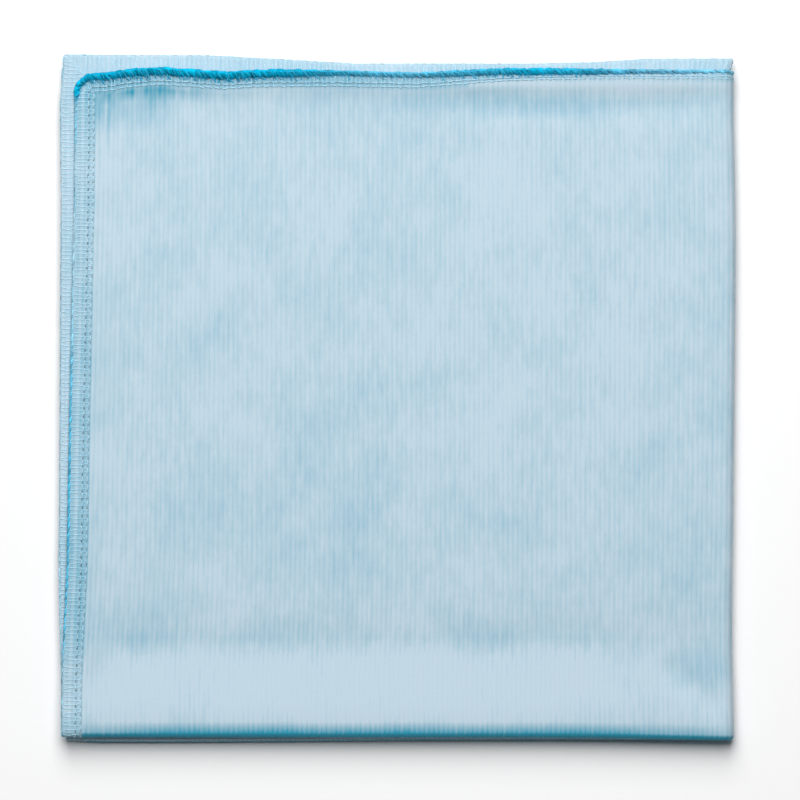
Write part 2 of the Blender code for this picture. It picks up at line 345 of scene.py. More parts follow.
def swell_at(x, y):
    """How far the pile is lifted over a point of the floor: by its highest ridge, less its troughs."""
    ridge, trough = np.zeros_like(x), np.zeros_like(x)
    for swell in SWELLS:
        run_x, run_y = (swell.end_x - swell.start_x) * MM, (swell.end_y - swell.start_y) * MM
        from_x, from_y = x - swell.start_x * MM, y - swell.start_y * MM
        t = np.clip((from_x * run_x + from_y * run_y) / (run_x ** 2 + run_y ** 2), 0, 1)
        away = np.hypot(from_x - t * run_x, from_y - t * run_y)
        lift = swell.rise * MM * np.exp(-(away / (swell.width * MM)) ** 2)
        ridge, trough = np.maximum(ridge, lift), trough + np.minimum(lift, 0)
    return ridge + trough


def fold_middle(sizes):
    """Where the middle of the folded cloth lies, from the side fold's axis and the front folds' axis."""
    small_turn, large_turn = sizes.layer_pitch / 2, 3 * sizes.layer_pitch / 2
    left_out = max(out for layer in LAYERS for _, out in layer.left) * MM
    back_out = max(out for layer in LAYERS for _, out in layer.back) * MM
    right = large_turn + sizes.knit_thickness / 2 + max(out for _, out in SIDE_FOLD_BOW) * MM
    left = (sizes.panel_width - math.pi * small_turn) / 2 + left_out
    front = sizes.fold_reach + sizes.knit_thickness / 2 + SLIP_AT_LEFT
    back = (sizes.panel_length - math.pi * small_turn) / 2 + back_out
    return (right - left) / 2, (back - front) / 2


def sideways(sizes, u, v, radius):
    """How far the side fold's bow, its inner strip and the meeting left edges shift points right."""
    across, along = 2 * np.abs(u) / sizes.panel_width, 2 * np.abs(v) / sizes.panel_length
    bow = np.interp(along, *zip(*SIDE_FOLD_BOW)) * MM * (1 - smooth_step(np.abs(u) / WANDER_DEPTH))
    meeting = 1 - smooth_step((np.abs(v) - PAIR_CLOSED) / (PAIR_OPEN - PAIR_CLOSED))
    pair = (radius - sizes.layer_pitch) * math.pi / 2 * smooth_step(across) * meeting
    bare = smooth_step((STRIP_STARTS - sizes.panel_length / 2 - v) / (STRIP_STARTS - STRIP_ENDS))
    strip = sizes.layer_pitch * bare * (1 - smooth_step(np.abs(u) / STRIP_DEPTH))
    return bow + strip - pair


def folded(sizes, u, v):
    """Carry points of the flat panel to the folded cloth, midway in its thickness."""
    small_turn, large_turn = sizes.layer_pitch / 2, 3 * sizes.layer_pitch / 2
    panel_u, panel_v = shaped_panel(sizes, u, v)
    past_front, height = turn_back(panel_v, small_turn)
    radius = sizes.layer_pitch + height
    past_right, level = turn_back(-panel_u, radius)
    across = 2 * np.abs(u) / sizes.panel_width
    lower_share = smooth_step(0.5 + u / (math.pi * large_turn))
    past_front = np.where(past_front > 0, past_front * sizes.fold_reach / small_turn, past_front)
    upper, lower = (np.interp(across, *zip(*table)) * MM for table in (UPPER_FOLD_BOW, LOWER_FOLD_BOW))
    bow = (upper + (lower - upper) * lower_share) * (1 - smooth_step(np.abs(v) / WANDER_DEPTH))
    forward = past_front + bow + lower_share * SLIP_AT_LEFT * across
    middle_x, middle_y = fold_middle(sizes)
    x, y = past_right + sideways(sizes, u, v, radius) - middle_x, -forward - middle_y
    lift = 1 + swell_at(x, y) / (3 * sizes.layer_pitch)
    from_edge = np.minimum(sizes.panel_width / 2 - np.abs(u), sizes.panel_length / 2 - np.abs(v))
    in_hem = 1 - smooth_step((from_edge - sizes.hem_width + HEM_SHOULDER) / HEM_SHOULDER)
    return np.stack((x, y, sizes.knit_thickness / 2 + HEM_LIFT * in_hem + (level + large_turn) * lift),
                    axis=1)


def carried(sizes, u, v, over):
    """Points that lie over the middle of the folded sheet, on the side of the cloth's face."""
    step = 0.02 * MM
    along_u = folded(sizes, u + step, v) - folded(sizes, u - step, v)
    along_v = folded(sizes, u, v + step) - folded(sizes, u, v - step)
    normal = np.cross(along_u, along_v)
    normal /= np.maximum(np.linalg.norm(normal, axis=1, keepdims=True), 1e-12)
    return folded(sizes, u, v) + normal * over[:, None]


# ---------------------------------------------------------------------------------------------------
# Materials
# ---------------------------------------------------------------------------------------------------

def add_node(tree, kind, sockets=None, **settings):
    """Add a node, set it up, and give its inputs a value or a link."""
    new = tree.nodes.new(kind)
    for name, value in settings.items():
        setattr(new, name, value)
    for name, value in (sockets or {}).items():
        if isinstance(value, bpy.types.NodeSocket):
            tree.links.new(value, new.inputs[name])
        else:
            new.inputs[name].default_value = value
    return new


def new_material(name, **principled):
    """A material with one Principled BSDF whose constants stand on its own sockets."""
    material = bpy.data.materials.new(name)
    material.use_nodes = True
    shader = material.node_tree.nodes["Principled BSDF"]
    for socket, value in principled.items():
        shader.inputs[socket.replace("_", " ")].default_value = value
    return material, material.node_tree, shader


def with_alpha(colour):
    """A colour with the alpha that a colour socket asks for."""
    return (*colour, 1.0)


def knit_material(sizes, colours):
    """Polyester microfibre warp knit, its fibres split and brushed up: a matt, soft and pale nap, which
    a little sheen lightens at a low angle, over a deeper ground that shows in the grooves."""
    material, tree, shader = new_material(
        "ribbed microfibre knit", Roughness=0.92, Sheen_Weight=0.25, Sheen_Roughness=0.45)
    shader.inputs["Specular IOR Level"].default_value = 0.15
    uv = add_node(tree, "ShaderNodeUVMap", uv_map="panel")
    ribs = add_node(tree, "ShaderNodeMapping", {
        "Vector": uv.outputs["UV"], "Scale": (sizes.rib_count, 1, 1)})
    parts = add_node(tree, "ShaderNodeSeparateXYZ", {0: ribs.outputs["Vector"]})
    turn = add_node(tree, "ShaderNodeMath", {0: parts.outputs["X"], 1: math.pi}, operation="MULTIPLY")
    wave = add_node(tree, "ShaderNodeMath", {0: turn.outputs[0]}, operation="SINE")
    crest = add_node(tree, "ShaderNodeMath", {0: wave.outputs[0]}, operation="ABSOLUTE")
    rib = add_node(tree, "ShaderNodeMath", {0: crest.outputs[0], 1: CREST_POWER}, operation="POWER")
    coords = add_node(tree, "ShaderNodeTexCoord")
    wales = add_node(tree, "ShaderNodeMapping", {
        "Vector": uv.outputs["UV"],
        "Scale": (sizes.rib_count, sizes.panel_length / STREAK_LENGTH, 1)})
    streaks = add_node(tree, "ShaderNodeTexNoise", {
        "Vector": wales.outputs["Vector"], "Scale": STREAK_CELLS, "Detail": 3.0, "Roughness": 0.6})
    mottle = add_node(tree, "ShaderNodeTexNoise", {
        "Vector": coords.outputs["Object"], "Scale": MOTTLE_CELLS, "Detail": 4.0, "Roughness": 0.6})
    fibre = add_node(tree, "ShaderNodeTexNoise", {
        "Vector": coords.outputs["Object"], "Scale": FIBRE_CELLS, "Detail": 2.0, "Roughness": 0.7})
    # The knit's own depth together with painted shade and painted light, mixed towards the ground colour.
    depth_and_painted_light = add_node(tree, "ShaderNodeAttribute", attribute_name="knit_depth_and_painted_light")
    pale = add_node(tree, "ShaderNodeMapRange", {
        "Value": rib.outputs[0], "From Min": 0.0, "From Max": 1.0, "To Min": GROOVE_TIPS,
        "To Max": CREST_TIPS})
    for noise, (least, most) in ((mottle, MOTTLE_SHIFT), (streaks, STREAK_SHIFT)):
        shift = add_node(tree, "ShaderNodeMapRange", {
            "Value": noise.outputs["Fac"], "From Min": NOISE_LOW, "From Max": NOISE_HIGH,
            "To Min": least, "To Max": most})
        pale = add_node(tree, "ShaderNodeMath", {0: pale.outputs[0], 1: shift.outputs[0]},
                        operation="ADD")
    pale = add_node(tree, "ShaderNodeMath", {0: pale.outputs[0], 1: depth_and_painted_light.outputs["Fac"]},
                    operation="SUBTRACT", use_clamp=True)
    colour = add_node(tree, "ShaderNodeMix", {
        "Factor": pale.outputs[0], 6: with_alpha(colours.knit_deep), 7: with_alpha(colours.knit_pale)},
        data_type="RGBA")
    tree.links.new(colour.outputs[2], shader.inputs["Base Color"])
    bump = add_node(tree, "ShaderNodeBump", {
        "Height": fibre.outputs["Fac"], "Strength": 0.45, "Distance": 0.12 * MM})
    tree.links.new(bump.outputs["Normal"], shader.inputs["Normal"])
    return material


def thread_material():
    """Textured polyester sewing thread, crimped and left unglazed: matt, hairy and soft, and deeper in
    colour where it bunches."""
    material, tree, shader = new_material(
        "textured overlock thread", Roughness=0.85, Sheen_Weight=0.02, Sheen_Roughness=0.4)
    shader.inputs["Specular IOR Level"].default_value = 0.05
    coords = add_node(tree, "ShaderNodeTexCoord")
    hairs = add_node(tree, "ShaderNodeTexNoise", {
        "Vector": coords.outputs["Object"], "Scale": CRIMP_CELLS, "Detail": 3.0, "Roughness": 0.75})
    # The colour attribute carries the thread's dye with painted shade and painted light.
    tint = add_node(tree, "ShaderNodeAttribute", attribute_name="tint")
    uneven = add_node(tree, "ShaderNodeMapRange", {
        "Value": hairs.outputs["Fac"], "From Min": NOISE_LOW, "From Max": NOISE_HIGH,
        "To Min": CRIMP_SHADES[0], "To Max": CRIMP_SHADES[1]})
    colour = add_node(tree, "ShaderNodeVectorMath", {
        0: tint.outputs["Color"], "Scale": uneven.outputs[0]}, operation="SCALE")
    tree.links.new(colour.outputs[0], shader.inputs["Base Color"])
    bump = add_node(tree, "ShaderNodeBump", {
        "Height": hairs.outputs["Fac"], "Strength": 0.5, "Distance": 0.08 * MM})
    tree.links.new(bump.outputs["Normal"], shader.inputs["Normal"])
    return material


def floor_material(colours):
    """Matt white paper, uncoated: no gloss, and a grain that is only just there."""
    material, tree, shader = new_material("matt white paper", Roughness=0.95)
    shader.inputs["Specular IOR Level"].default_value = 0.05
    coords = add_node(tree, "ShaderNodeTexCoord")
    grain = add_node(tree, "ShaderNodeTexNoise", {
        "Vector": coords.outputs["Object"], "Scale": PAPER_CELLS, "Detail": 2.0})
    shade = add_node(tree, "ShaderNodeMix", {
        "Factor": grain.outputs["Fac"], 6: with_alpha(colours.floor),
        7: with_alpha([0.985 * c for c in colours.floor])}, data_type="RGBA")
    tree.links.new(shade.outputs[2], shader.inputs["Base Color"])
    return material


# ---------------------------------------------------------------------------------------------------
# Pieces
# ---------------------------------------------------------------------------------------------------

def link(name, mesh, material):
    """Put a finished mesh in the scene as a piece of the cloth."""
    piece = bpy.data.objects.new(name, mesh)
    bpy.context.scene.collection.objects.link(piece)
    mesh.materials.append(material)
    mesh.shade_smooth()
    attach(piece, BODY)
    return piece


def even_steps(start, end, count):
    """Places after start, up to and with end, the same distance apart."""
    return [start + (end - start) * i / count for i in range(1, count + 1)]


# Rows of the knit along the ribs: how far from the front fold, in mm, or from the free edge where that
# is 0 or less, and the number of steps up to there: close where the pile swells and turns, wide where it
# is flat or hidden.
Rows = namedtuple("Rows", "until steps")
SHOWN_ROWS = (Rows(1.26, 4), Rows(40, 12), Rows(178, 11), Rows(-6.2, 7), Rows(-5.3, 1), Rows(-0.9, 3),
              Rows(0, 1))
HIDDEN_ROWS = (Rows(1.26, 4), Rows(20, 3), Rows(185, 4), Rows(-6.2, 2), Rows(-5.3, 1), Rows(-0.9, 2),
               Rows(0, 1))

# Columns across a rib, the first of them in its groove; how far the others stand over the knit's face and
# the groove under it, as shares of a rib's height; the share of that height that is left in a hem; and
# the distance over which a hem is pressed thin.
COLUMNS_PER_RIB = 3
GROOVE, CREST = -2 / 3, 1 / 3
RIB_LEFT_IN_HEM = 0.25
HEM_PRESSED_OVER = 1.2 * MM


def row_places(sizes, rows):
    """Distances from the front fold at which the knit has a row."""
    places = [0.0]
    for row in rows:
        until = row.until * MM if row.until > 0 else sizes.panel_length / 2 + row.until * MM
        places += even_steps(places[-1], until, row.steps)
    return places


class CLOTH_OT_knit_panel(bpy.types.Operator):
    """Fold a fine grid into the ribbed knit panel"""
    bl_idname = "cloth.knit_panel"
    bl_label = "Knit panel"

    def execute(self, context):
        sizes, colours = context.scene.cloth_sizes, context.scene.cloth_colours
        columns = sizes.rib_count * COLUMNS_PER_RIB
        hidden, shown = row_places(sizes, HIDDEN_ROWS), row_places(sizes, SHOWN_ROWS)
        rows = np.array([-place for place in reversed(hidden)] + shown[1:])
        bm = bmesh.new()
        bmesh.ops.create_grid(bm, x_segments=columns, y_segments=len(rows) - 1, size=0.5)
        mesh = bpy.data.meshes.new("knit_panel")
        bm.to_mesh(mesh)
        bm.free()
        flat = np.empty(len(mesh.vertices) * 3)
        mesh.vertices.foreach_get("co", flat)
        flat = flat.reshape(-1, 3)
        column = np.rint((flat[:, 0] + 0.5) * columns)
        u = (column / columns - 0.5) * sizes.panel_width
        v = rows[np.rint((flat[:, 1] + 0.5) * (len(rows) - 1)).astype(int)]

        from_edge = np.minimum(sizes.panel_width / 2 - np.abs(u), sizes.panel_length / 2 - np.abs(v))
        bunch = bunching(sizes, nearest_stitch(sizes, u, v))
        from_knit = from_edge - sizes.hem_width * bunch.width
        knit_share = smooth_step(from_knit / HEM_PRESSED_OVER + 1)
        thickness = sizes.hem_thickness + (sizes.knit_thickness - sizes.hem_thickness) * knit_share
        relief = np.where(column % COLUMNS_PER_RIB == 0, GROOVE, CREST) * sizes.rib_height
        relief *= RIB_LEFT_IN_HEM + (1 - RIB_LEFT_IN_HEM) * knit_share
        place = carried(sizes, u, v, relief)
        mesh.vertices.foreach_set("co", place.ravel())
        uv = mesh.uv_layers.new(name="panel")
        corner = np.empty(len(mesh.loops), dtype=np.int32)
        mesh.loops.foreach_get("vertex_index", corner)
        spread = np.stack((u / sizes.panel_width + 0.5, v / sizes.panel_length + 0.5), axis=1)
        uv.data.foreach_set("uv", spread[corner].ravel())
        # The knit's own depth together with its painted shade and painted light.
        depth_and_painted_light = mesh.attributes.new("knit_depth_and_painted_light", "FLOAT", "POINT")
        depth_and_painted_light.data.foreach_set("value", self.knit_depth_and_painted_light(sizes, u, v, from_knit, bunch, place))

        piece = link("knit_panel", mesh, knit_material(sizes, colours))
        share = piece.vertex_groups.new(name="share of the knit's thickness")
        for index, weight in enumerate(thickness / sizes.knit_thickness):
            share.add([index], float(weight), "REPLACE")
        solidify = piece.modifiers.new("thickness", "SOLIDIFY")
        solidify.thickness = sizes.knit_thickness
        solidify.offset = 0
        solidify.use_even_offset = True
        solidify.vertex_group = share.name
        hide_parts(NODE)
        return {"FINISHED"}

    def knit_depth_and_painted_light(self, sizes, u, v, from_knit, bunch, place):
        """How deep the knit looks, with painted light and shade: painted shade round the front folds and
        painted light on top of the lower one, a hem's own depth with the cord's painted shade, painted
        shade just inside a hem, and the top face's patches."""
        top = (u < 0) & (v > 0)
        in_hem = from_knit < 0
        return (self.painted_light_and_shade_at_front_folds(sizes, u, v) * np.where(in_hem, HEM_SHARE_OF_FOLD_SHADE, 1.0)
                + np.where(in_hem, self.hem_depth_and_cord_shade(sizes, from_knit, bunch, top), 0)
                + np.where(in_hem, 0, self.painted_groove_shade(sizes, u, v, from_knit, top))
                + np.where(top, self.patches(place), 0))

    def painted_light_and_shade_at_front_folds(self, sizes, u, v):
        """Painted shade round the upper front fold; painted light on top of the lower one and painted
        shade in its front.
        """
        places, middle, reach = zip(*UPPER_FOLD_PAINTED_SHADE)
        middle, reach = (np.interp(2 * np.abs(u) / sizes.panel_width, places, column) * MM
                         for column in (middle, reach))
        upper = np.exp(-((v - middle) / reach) ** 4)
        # Painted light on the lower fold's top and painted shade on its front.
        in_front = smooth_step((v + LOWER_CHANGE_START) / LOWER_CHANGE)
        lower = np.exp(-(v / LOWER_REACH) ** 4) * (LOWER_TOP_PAINTED_LIGHT + LOWER_FRONT_PAINTED_SHADE * in_front)
        return np.where(u < 0, upper, lower)

    def hem_depth_and_cord_shade(self, sizes, from_knit, bunch, top):
        """How deep the knit looks between a hem's threads, deeper where the cord bunches, partly as its
        painted shade.
        """
        from_edge = from_knit + sizes.hem_width * bunch.width
        bare = np.exp(-((from_edge - BARE_STRIP_MIDDLE) / BARE_STRIP_REACH) ** 4) * (bunch.along < 0)
        deeper = BUNCHED_HEM_DEPTH_AND_CORD_SHADE * bunch.depth * (1 - bare)
        return np.where(top, TOP_HEM_DEPTH + deeper, OTHER_HEM_DEPTH)

    def painted_groove_shade(self, sizes, u, v, from_knit, top):
        """Painted shade just inside a hem, where the knit drops from the raised hem, rib by rib."""
        rib = np.rint((u / sizes.panel_width + 0.5) * sizes.rib_count).astype(int)
        random = np.random.default_rng(RIB_SEED)
        reach, strength = random.uniform(*RIB_SHARES, (2, sizes.rib_count + 1))
        corner = smooth_step((v - sizes.panel_length / 2 + CORNER_ALONG) / CORNER_GROWS_ALONG) * top
        corner *= smooth_step((-u - CORNER_ACROSS) / CORNER_GROWS_ACROSS)
        painted_groove_shade = np.exp(-((from_knit - HEM_SHADE_MIDDLE) / (HEM_SHADE_REACH * reach[rib])) ** 2)
        return painted_groove_shade * (HEM_PAINTED_SHADE + CORNER_PAINTED_SHADE * corner * strength[rib])

    def patches(self, place):
        """How deep the top face looks in its patches: painted shade in its hollows, dip and crease,
        painted light on its ridge and puffed folds, and the nap's own tone elsewhere.
        """
        x, y = place[:, 0] / MM, place[:, 1] / MM
        return sum(patch.deeper * np.exp(-(((x - patch.x) / patch.reach_x) ** 2
                                           + ((y - patch.y) / patch.reach_y) ** 2) ** 2)
                   for patch in PATCHES)


# ---------------------------------------------------------------------------------------------------
# Overlock threads
# ---------------------------------------------------------------------------------------------------

def hem_point(sizes, stitch, depth):
    """A point of the flat panel: so many stitches round its edge from the top layer's free corner,
    along the back first, and so deep inside the edge."""
    per_side = (sizes.stitches_across, sizes.stitches_along) * 2
    starts = np.concatenate(([0], np.cumsum(per_side)))
    stitch = np.mod(stitch, starts[-1])
    side = np.clip(np.searchsorted(starts, stitch, side="right") - 1, 0, 3)
    share = (stitch - starts[side]) / np.array(per_side)[side]
    half_u, half_v = sizes.panel_width / 2, sizes.panel_length / 2
    sign_u, sign_v = np.array((-1, 1, 1, -1, -1)), np.array((1, 1, -1, -1, 1))
    u = half_u * (sign_u[side] * (1 - share) + sign_u[side + 1] * share)
    v = half_v * (sign_v[side] * (1 - share) + sign_v[side + 1] * share)
    return np.clip(u, depth - half_u, half_u - depth), np.clip(v, depth - half_v, half_v - depth)


def nearest_stitch(sizes, u, v):
    """How many stitches round the edge the nearest point of the edge lies."""
    half_u, half_v = sizes.panel_width / 2, sizes.panel_length / 2
    back, right, front, left = half_v - v, half_u - u, half_v + v, half_u + u
    across, along = sizes.stitches_across, sizes.stitches_along
    nearest = np.argmin(np.stack((back, right, front, left)), axis=0)
    return np.choose(nearest, (across * left / sizes.panel_width,
                               across + along * back / sizes.panel_length,
                               across + along + across * right / sizes.panel_width,
                               2 * across + along + along * front / sizes.panel_length))


def bunching(sizes, stitch):
    """The table's columns, in metres and shares, at so many stitches round the edge."""
    total = 2 * (sizes.stitches_across + sizes.stitches_along)
    pitch = sizes.panel_width / sizes.stitches_across / MM
    stitch = np.mod(stitch, total)
    along = np.where(stitch > total / 2, stitch - total, stitch) * pitch
    places, radius, depth, width = zip(*BUNCHES)
    return Bunch(along, np.interp(along, places, radius) * MM, np.interp(along, places, depth),
                 np.interp(along, places, width))


# The points a thread runs through, its radius and its colour at each, and whether its ends meet.
Thread = namedtuple("Thread", "route radii tint closed")


def thread_mesh(name, threads):
    """Threads as mesh tubes along their routes, whose points carry their radius and their colour."""
    curve = bpy.data.curves.new(name, "CURVE")
    curve.dimensions = "3D"
    curve.bevel_depth = 1.0
    curve.bevel_resolution = 1
    for thread in threads:
        spline = curve.splines.new("POLY")
        spline.points.add(len(thread.route) - 1)
        weighted = np.column_stack((thread.route, np.ones(len(thread.route))))
        spline.points.foreach_set("co", weighted.ravel())
        spline.points.foreach_set("radius", thread.radii)
        spline.use_cyclic_u = thread.closed
    holder = bpy.data.objects.new(name, curve)
    bpy.context.scene.collection.objects.link(holder)
    evaluated = holder.evaluated_get(bpy.context.evaluated_depsgraph_get())
    mesh = bpy.data.meshes.new_from_object(evaluated)
    bpy.data.objects.remove(holder)
    bpy.data.curves.remove(curve)
    tint = np.concatenate([thread.tint for thread in threads])
    ring = len(mesh.vertices) // len(tint)
    colour = np.column_stack((np.repeat(tint, ring, axis=0), np.ones(len(tint) * ring)))
    mesh.color_attributes.new("tint", "FLOAT_COLOR", "POINT").data.foreach_set("color", colour.ravel())
    return mesh


def dyed(colours, depth, shade):
    """Thread colour where it lies loose or bunched, darkened by painted shade where it sinks out of the
    light, and lightened by painted light where the shade is below 0.
    """
    pale, deep = np.array(colours.thread_pale), np.array(colours.thread_deep)
    mixed = pale + (deep - pale) * np.clip(depth, 0, 1)[:, None]
    return mixed * (1 - shade)[:, None]


# One stitch of a thread: how far along the stitch, how deep inside the edge and how high over the
# middle of the cloth each point lies, the first as a share of the stitch and the others in mm; the
# thread's girth there, as a share of its own; and how much painted shade darkens it where it sinks into
# the knit.
Step = namedtuple("Step", "along depth over girth shade")
UPPER_LOOPER = (
    Step(0.00, 0.00, 0.20, 1.0, 0.0), Step(0.20, 0.40, 0.38, 1.0, 0.0), Step(0.25, 2.20, 0.36, 0.9, 0.0),
    Step(0.26, 3.80, 0.36, 0.8, 0.0), Step(0.32, 5.50, 0.40, 0.9, 0.0), Step(0.50, 5.80, 0.38, 1.0, 0.0),
    Step(0.68, 5.50, 0.40, 0.9, 0.0), Step(0.74, 3.80, 0.36, 0.8, 0.0), Step(0.75, 2.20, 0.36, 0.9, 0.0),
    Step(0.80, 0.40, 0.38, 1.0, 0.0),
)
LOWER_LOOPER = tuple(step._replace(over=-step.over) for step in UPPER_LOOPER)
OUTER_NEEDLE = (
    Step(0.00, 4.00, 0.32, 1.4, 0.75), Step(0.10, 4.00, 0.36, 1.3, 0.65),
    Step(0.24, 4.00, 0.48, 0.9, 0.10), Step(0.42, 4.00, 0.52, 1.0, 0.0), Step(0.60, 4.00, 0.52, 1.0, 0.0),
    Step(0.78, 4.00, 0.48, 0.9, 0.10), Step(0.92, 4.00, 0.36, 1.3, 0.65),
)
INNER_NEEDLE_DEPTH, INNER_NEEDLE_SHADE = 5.45, 0.7
INNER_NEEDLE = tuple(step._replace(depth=INNER_NEEDLE_DEPTH, shade=INNER_NEEDLE_SHADE * step.shade)
                     for step in OUTER_NEEDLE)

# How unevenly the stitches lie: across the edge, and along it as a share of a stitch.
UNEVEN_ACROSS = 0.10 * MM
UNEVEN_ALONG = 0.045


def stitched_route(sizes, steps, seed):
    """Repeat one stitch round the whole edge, a little unevenly: the route, and a row of the table
    and the number of stitches for each of its points."""
    total = 2 * (sizes.stitches_across + sizes.stitches_along)
    table = np.tile(np.array(steps), (total, 1))
    stitch = np.repeat(np.arange(total), len(steps)) + table[:, 0]
    uneven = np.random.default_rng(seed).normal(0, 1, (2, len(stitch)))
    depth = table[:, 1] * bunching(sizes, stitch).width * MM + uneven[0] * UNEVEN_ACROSS
    u, v = hem_point(sizes, stitch + UNEVEN_ALONG * uneven[1], depth)
    # Painted shade at the needle holes, less where the hem is narrow.
    table[:, 4] *= bunching(sizes, stitch).width ** 2
    return carried(sizes, u, v, table[:, 2] * MM), Step(*table.T), stitch


# The seam's threads and how much of the bunched colour each takes.
SEAM = (("overlock_upper_looper", UPPER_LOOPER, 0.36), ("overlock_lower_looper", LOWER_LOOPER, 0.20),
        ("overlock_outer_needle", OUTER_NEEDLE, 0.20), ("overlock_inner_needle", INNER_NEEDLE, 0.15))


class CLOTH_OT_overlock_seam(bpy.types.Operator):
    """Sew the needle and looper threads over the panel's edge"""
    bl_idname = "cloth.overlock_seam"
    bl_label = "Overlock seam"

    def execute(self, context):
        sizes, colours = context.scene.cloth_sizes, context.scene.cloth_colours
        material = thread_material()
        for seed, (name, steps, depth_share) in enumerate(SEAM):
            route, row, stitch = stitched_route(sizes, steps, seed)
            bunched = bunching(sizes, stitch).depth
            # Painted light on the raised loose looper threads down the left edge.
            lit = np.exp(-((row.depth - LIT_THREADS_MIDDLE) / LIT_THREADS_REACH) ** 4)
            lit *= LIT_THREADS_PAINTED_LIGHT * bunched
            tint = dyed(colours, bunched * depth_share, row.shade - lit)
            thread = Thread(route, sizes.thread_radius * row.girth, tint, True)
            piece = link(name, thread_mesh(name, [thread]), material)
        return {"FINISHED"}


# The purl, where the two looper threads cross over the rim: two thick strands all round the edge, and
# where the top layer's rim bunches up, filaments round them and flat loops of loose hair at both sides.
# start is how far round the purl a strand begins, in half turns; swing and girth are shares of the
# purl's radius, and rise is a share of the swing; the rest is how unevenly it lies, how much paler it is
# and how much darker.
Strand = namedtuple("Strand", "start swing rise girth uneven paler shade")
CORE = (Strand(0.0, 0.40, 1.0, 0.72, 0.05, 0.0, 0.0), Strand(1.0, 0.40, 1.0, 0.72, 0.05, 0.0, 0.0))
FILAMENTS = (
    Strand(0.10, 0.95, 1.0, 0.20, 0.10, 0.00, 0.10), Strand(0.27, 0.98, 1.0, 0.15, 0.14, 0.02, 0.00),
    Strand(0.44, 0.92, 1.0, 0.20, 0.10, 0.00, 0.30), Strand(0.62, 1.02, 1.0, 0.13, 0.16, 0.05, 0.00),
    Strand(0.80, 0.95, 1.0, 0.20, 0.10, 0.00, 0.15), Strand(1.06, 0.92, 1.0, 0.20, 0.10, 0.00, 0.35),
    Strand(1.24, 1.00, 1.0, 0.14, 0.16, 0.03, 0.00), Strand(1.45, 0.95, 1.0, 0.20, 0.10, 0.00, 0.05),
    Strand(1.60, 0.92, 1.0, 0.20, 0.10, 0.00, 0.25), Strand(1.82, 1.02, 1.0, 0.13, 0.16, 0.06, 0.00),
    Strand(0.05, 1.60, 0.3, 0.12, 0.25, 0.15, 0.00), Strand(0.30, 1.45, 0.3, 0.13, 0.25, 0.05, 0.00),
    Strand(0.60, 1.70, 0.3, 0.11, 0.25, 0.15, 0.00), Strand(0.85, 1.40, 0.3, 0.13, 0.25, 0.05, 0.00),
    Strand(1.10, 1.65, 0.3, 0.12, 0.25, 0.15, 0.00), Strand(1.40, 1.45, 0.3, 0.13, 0.25, 0.05, 0.00),
    Strand(1.65, 1.60, 0.3, 0.11, 0.25, 0.15, 0.00), Strand(1.90, 1.40, 0.3, 0.13, 0.25, 0.05, 0.00),
)

# The filaments' first and last stitch from the free corner, and the steps in a stitch.
FILAMENTS_FIRST, FILAMENTS_LAST = -4, 74
CORE_STEPS, FILAMENT_STEPS = 6, 7
PURL_SEED = 10

# A purl thicker than the plain one sits higher, by a share of the difference. A strand gets painted
# shade on its underside and painted light on its inner side, and is unevenly dark and thick.
PLAIN_PURL = 0.36 * MM
SITS_HIGHER = 0.15
UNDERSIDE_PAINTED_SHADE, INSIDE_PAINTED_LIGHT, UNEVENLY_DARK, UNEVENLY_THICK = 0.15, 0.25, 0.2, 0.12
LIGHTEST, DARKEST = -0.4, 0.7


class CLOTH_OT_overlock_purl(bpy.types.Operator):
    """Twist the two looper threads along the rim, bunched where the top layer's edge curls up"""
    bl_idname = "cloth.overlock_purl"
    bl_label = "Overlock purl"

    def execute(self, context):
        sizes, colours = context.scene.cloth_sizes, context.scene.cloth_colours
        material = bpy.data.materials["textured overlock thread"]
        total = 2 * (sizes.stitches_across + sizes.stitches_along)
        round_edge = np.arange(total * CORE_STEPS) / CORE_STEPS
        bunched = np.arange(FILAMENTS_FIRST * FILAMENT_STEPS, FILAMENTS_LAST * FILAMENT_STEPS)
        bunched = bunched / FILAMENT_STEPS
        for seed, (name, strands, stitch) in enumerate((
                ("overlock_purl", CORE, round_edge), ("overlock_filaments", FILAMENTS, bunched))):
            random = np.random.default_rng(PURL_SEED + seed)
            threads = [self.strand(sizes, colours, strand, stitch, name == "overlock_purl", random)
                       for strand in strands]
            link(name, thread_mesh(name, threads), material)
        return {"FINISHED"}

    def strand(self, sizes, colours, strand, stitch, closed, random):
        """One strand of the purl, twisted half round it in each stitch."""
        total = 2 * (sizes.stitches_across + sizes.stitches_along)
        bunch = bunching(sizes, stitch)
        thick, loose, slid, dark = (np.interp(2 * stitch, np.arange(2 * total), row, period=2 * total)
                                    for row in random.normal(0, 1, (4, 2 * total)))
        turn = math.pi * (stitch + strand.start)
        swing = strand.swing * bunch.radius * (1 + strand.uneven * loose)
        along = stitch + strand.uneven * slid
        u, v = hem_point(sizes, along, -swing * np.cos(turn))
        over = strand.rise * swing * np.sin(turn) + SITS_HIGHER * (bunch.radius - PLAIN_PURL)
        # Painted shade on the strand's underside and painted light on its inner side.
        low, inner = 0.5 - 0.5 * np.sin(turn), np.maximum(-np.cos(turn), 0)
        shade = strand.shade + UNDERSIDE_PAINTED_SHADE * low - INSIDE_PAINTED_LIGHT * inner + UNEVENLY_DARK * dark
        tint = dyed(colours, bunch.depth * (1 - strand.paler), np.clip(shade, LIGHTEST, DARKEST))
        girth = bunch.radius * strand.girth * (1 + UNEVENLY_THICK * np.clip(thick, -2, 2))
        return Thread(carried(sizes, u, v, over), girth, tint, closed)


# ---------------------------------------------------------------------------------------------------
# Studio
# ---------------------------------------------------------------------------------------------------

# The floor reaches so far each way and lies so far under the cloth.
FLOOR_HALF = 6.0
FLOOR_DROP = 0.2 * MM

